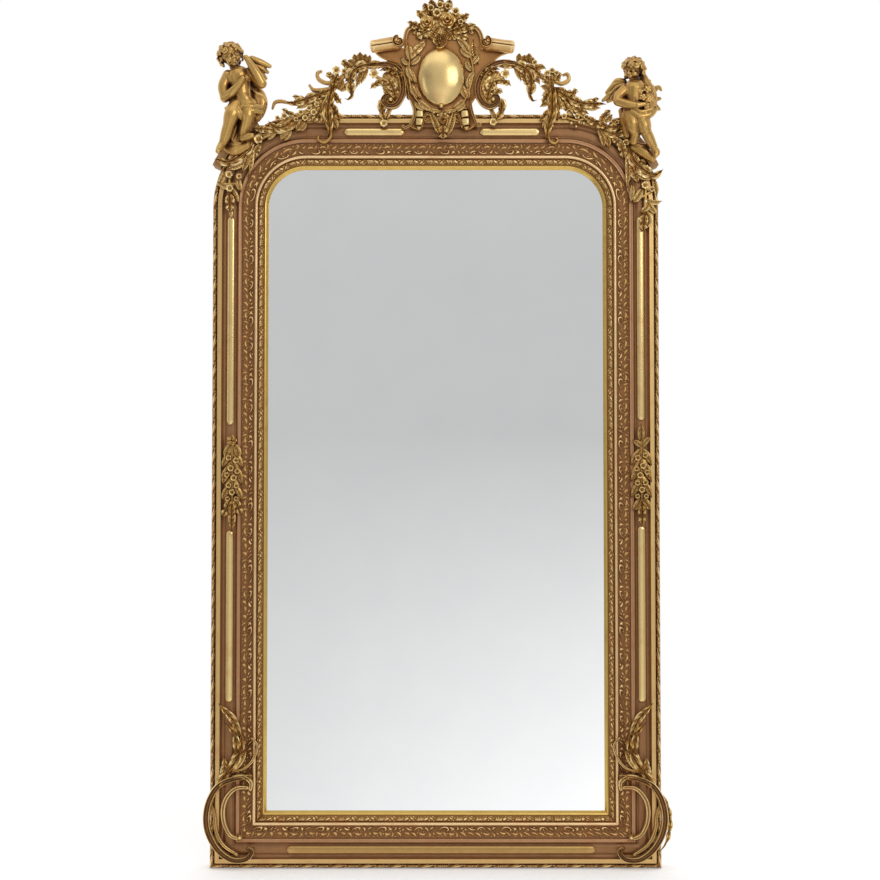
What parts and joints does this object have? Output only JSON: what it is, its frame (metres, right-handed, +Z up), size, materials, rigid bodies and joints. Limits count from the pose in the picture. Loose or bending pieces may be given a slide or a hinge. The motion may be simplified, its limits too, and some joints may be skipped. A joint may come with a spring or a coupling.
{
  "type": "trumeau mirror",
  "caption": "tall gilt wall mirror with round upper corners, moulded frame, carved crest with oval boss, leaf garlands, winged child figures and scrolled foot corners",
  "frame": {"origin": "middle of the flat back of the frame, on the plane that faces the wall, level with the middle of the frame's height without its crest", "axes": "+X to the right seen from the front, +Y out of the back toward the wall, +Z up; the front faces -Y"},
  "size_m": [1.0719, 0.1253, 2.003],
  "materials": {
    "gilt_moulding": "gilded, satin",
    "aged_gilt_moulding": "gilded, aged and toned",
    "burnished_gilt": "burnished gilding",
    "gilt_ornament": "gilded carving with dark recesses",
    "looking_glass": "silvered",
    "board": "plain",
    "pine": "plain",
    "steel": "plated",
    "felt": "felt"
  },
  "bodies": {
    "mirror": {"top_rail": "gilt_moulding", "bottom_rail": "gilt_moulding", "stile_left": "gilt_moulding", "stile_right": "gilt_moulding", "corner_block_left": "gilt_moulding", "corner_block_right": "gilt_moulding", "inner_top_rail": "aged_gilt_moulding", "inner_bottom_rail": "aged_gilt_moulding", "inner_stile_left": "aged_gilt_moulding", "inner_stile_right": "aged_gilt_moulding", "inner_corner_left": "aged_gilt_moulding", "inner_corner_right": "aged_gilt_moulding", "strip_left_upper": "burnished_gilt", "strip_left_lower": "burnished_gilt", "strip_right_upper": "burnished_gilt", "strip_right_lower": "burnished_gilt", "strip_top_left": "burnished_gilt", "strip_top_right": "burnished_gilt", "strip_bottom": "burnished_gilt", "mirror_glass": "looking_glass", "back_board": "board", "glass_stop_left": "pine", "glass_stop_right": "pine", "glass_stop_top": "pine", "glass_stop_bottom": "pine", "crest_batten": "pine", "putto_bracket_left": "pine", "putto_bracket_right": "pine", "hanger_strap_left": "steel", "hanger_strap_right": "steel", "hanger_screw_left_upper": "steel", "hanger_screw_left_lower": "steel", "hanger_screw_right_upper": "steel", "hanger_screw_right_lower": "steel", "wall_bumper_left": "felt", "wall_bumper_right": "felt", "crest_body": "gilt_ornament", "crest_bouquet": "gilt_ornament", "crest_pendant": "gilt_ornament", "laurel_left": "gilt_ornament", "laurel_right": "gilt_ornament", "putto_left": "gilt_ornament", "putto_right": "gilt_ornament", "corner_acanthus_left": "gilt_ornament", "corner_acanthus_right": "gilt_ornament", "flower_drop_left": "gilt_ornament", "flower_drop_right": "gilt_ornament", "swag_left": "gilt_ornament", "swag_right": "gilt_ornament", "side_bouquet_left": "gilt_ornament", "side_bouquet_right": "gilt_ornament", "corner_clasp_left": "gilt_ornament", "corner_clasp_right": "gilt_ornament", "crest_cabochon": "burnished_gilt", "parchment_roll_left": "burnished_gilt", "parchment_roll_right": "burnished_gilt"},
    "ring_left": {"hanger_ring_left": "steel"},
    "ring_right": {"hanger_ring_right": "steel"}
  },
  "joints": [
    {"name": "ring_left_swing", "type": "hinge", "parent": "mirror", "child": "ring_left", "pos_m": [-0.482, 0.0047, 0.569], "axis": [1, 0, 0], "range_deg": [0, 176]},
    {"name": "ring_right_swing", "type": "hinge", "parent": "mirror", "child": "ring_right", "pos_m": [0.482, 0.0047, 0.569], "axis": [1, 0, 0], "range_deg": [0, 176]}
  ]
}
